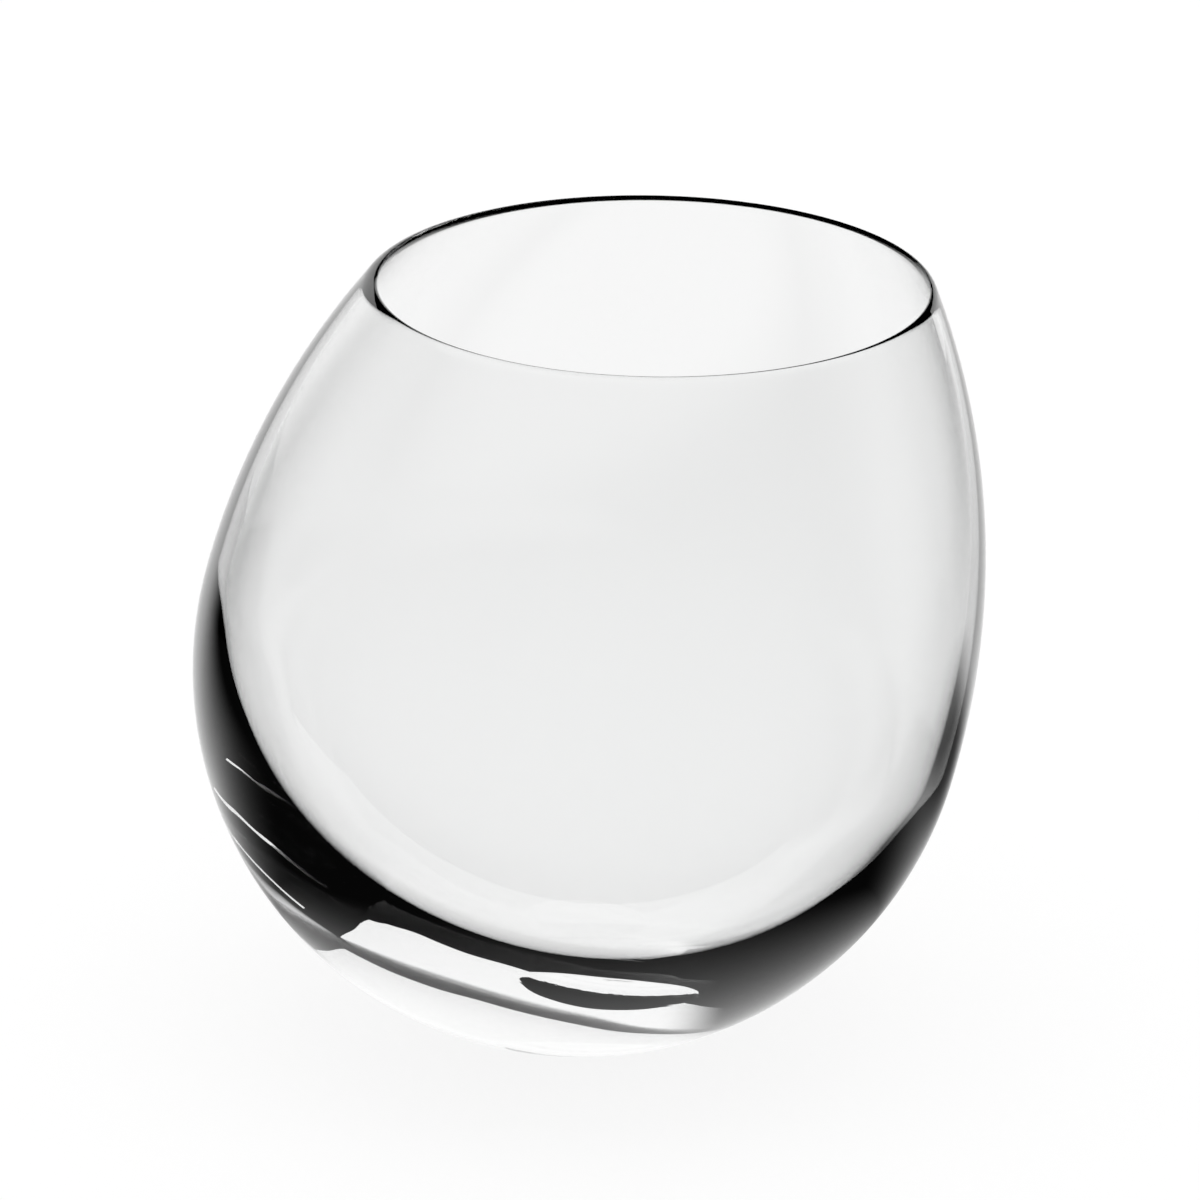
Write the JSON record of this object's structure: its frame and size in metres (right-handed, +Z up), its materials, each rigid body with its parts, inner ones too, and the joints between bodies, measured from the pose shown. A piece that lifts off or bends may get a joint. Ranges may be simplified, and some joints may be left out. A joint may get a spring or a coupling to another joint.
{
  "type": "rocks glass",
  "caption": "Clear ball-bottomed rocks glass that leans on a ground flat while its thin rim stays level; holds a short drink.",
  "frame": {"origin": "middle of the ground flat that the glass rests on", "axes": "+Z up from the flat, +X the way the bowl leans, Y square to the plane of the lean"},
  "size_m": [0.0916, 0.09, 0.0917],
  "materials": {
    "bowl_glass": "fire-polished",
    "base_glass": "polished"
  },
  "bodies": {
    "root": {"bowl": "bowl_glass", "base": "base_glass"}
  },
  "joints": []
}
